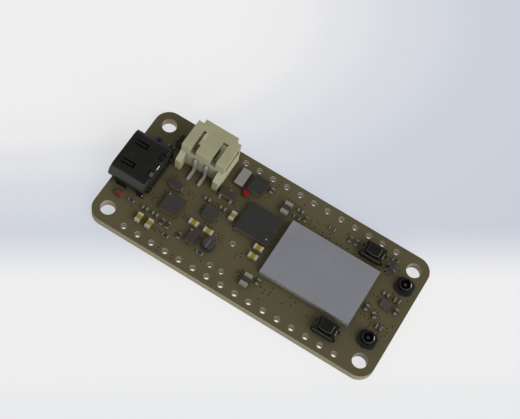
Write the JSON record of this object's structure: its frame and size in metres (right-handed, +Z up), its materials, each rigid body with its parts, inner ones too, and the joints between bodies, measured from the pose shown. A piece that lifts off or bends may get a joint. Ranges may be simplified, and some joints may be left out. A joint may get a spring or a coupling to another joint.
{
  "type": "wireless development board",
  "caption": "Small wireless development board with a data port, battery connector, radio module, push buttons, antenna sockets and rows of header holes along both long edges.",
  "frame": {"origin": "centre of the four mounting holes on the board's underside", "axes": "+X from the data port to the antenna sockets, +Y towards the battery connector's edge, +Z up out of the component face"},
  "size_m": [0.0512, 0.0228, 0.0071],
  "materials": {
    "board_laminate": "satin solder mask over glass laminate",
    "black_coated_steel": "satin black coating on thin sheet",
    "black_moulding": "fine moulded texture",
    "gilt_contact": "thin gilt plating",
    "cream_moulding": "satin moulding",
    "tinned_metal": "dull tin plating",
    "module_laminate": "matt laminate edge",
    "module_coating": "fine metallised coating over moulding",
    "chip_moulding": "matt moulding compound",
    "crystal_ceramic": "matt ceramic",
    "crystal_metal": "satin plated lid",
    "ferrite": "matt ferrite",
    "copper_wire": "enamelled wire",
    "lamp_base": "moulded base",
    "red_lens": "clear-tinted lens",
    "muted_red_lens": "milky tinted lens",
    "blue_lens": "dark tinted lens",
    "dark_ceramic": "matt glazed film",
    "brown_ceramic": "fired ceramic",
    "yellow_ceramic": "fired ceramic",
    "grey_ceramic": "fired ceramic",
    "spring_steel": "polished spring sheet"
  },
  "bodies": {
    "board": {"antenna_amplifier": "chip_moulding", "battery_connector_anchors": "tinned_metal", "battery_connector_housing": "cream_moulding", "battery_connector_pins": "tinned_metal", "bias_transistor": "chip_moulding", "bridge_chip_body": "chip_moulding", "bridge_chip_pads": "tinned_metal", "button_terminals": "black_coated_steel", "charge_lamp_lens": "muted_red_lens", "charger_chip": "chip_moulding", "circuit_board": "board_laminate", "crystal_base": "crystal_ceramic", "crystal_lid": "crystal_metal", "data_port_contacts": "gilt_contact", "data_port_insulator": "black_moulding", "data_port_shell": "black_coated_steel", "grey_capacitor_bodies": "grey_ceramic", "grey_capacitor_terminals": "tinned_metal", "inductor_core": "ferrite", "inductor_terminals": "tinned_metal", "inductor_winding": "copper_wire", "lamp_terminals": "tinned_metal", "level_transistor": "chip_moulding", "link_lamp_lens": "blue_lens", "main_antenna_socket_base": "black_moulding", "main_antenna_socket_pin": "gilt_contact", "main_antenna_socket_shell": "black_coated_steel", "memory_chip_body": "chip_moulding", "memory_chip_pads": "tinned_metal", "motion_sensor_body": "chip_moulding", "motion_sensor_pads": "tinned_metal", "radio_module_cap": "module_coating", "radio_module_substrate": "module_laminate", "regulator_chip": "chip_moulding", "reset_button_base": "black_moulding", "reset_button_cover": "black_coated_steel", "reset_button_dome": "spring_steel", "resistor_bodies": "dark_ceramic", "resistor_terminals": "tinned_metal", "second_antenna_socket_base": "black_moulding", "second_antenna_socket_pin": "gilt_contact", "second_antenna_socket_shell": "black_coated_steel", "small_capacitor_bodies": "brown_ceramic", "small_capacitor_terminals": "tinned_metal", "small_chip_pads": "tinned_metal", "supply_diode_body": "chip_moulding", "supply_diode_leads": "tinned_metal", "supply_transistor": "chip_moulding", "transistor_leads": "tinned_metal", "user_button_base": "black_moulding", "user_button_cover": "black_coated_steel", "user_button_dome": "spring_steel", "user_lamp_base": "lamp_base", "user_lamp_lens": "red_lens", "yellow_capacitor_bodies": "yellow_ceramic", "yellow_capacitor_terminals": "tinned_metal"},
    "reset_plunger": {"reset_button_plunger": "black_moulding"},
    "user_plunger": {"user_button_plunger": "black_moulding"}
  },
  "joints": [
    {"name": "reset_press", "type": "slide", "parent": "board", "child": "reset_plunger", "axis": [0, 0, -1], "range_m": [0, 0.0002], "stiffness_N_per_m": 8000, "deforming": ["reset_button_dome"]},
    {"name": "user_press", "type": "slide", "parent": "board", "child": "user_plunger", "axis": [0, 0, -1], "range_m": [0, 0.0002], "stiffness_N_per_m": 8000, "deforming": ["user_button_dome"]}
  ]
}
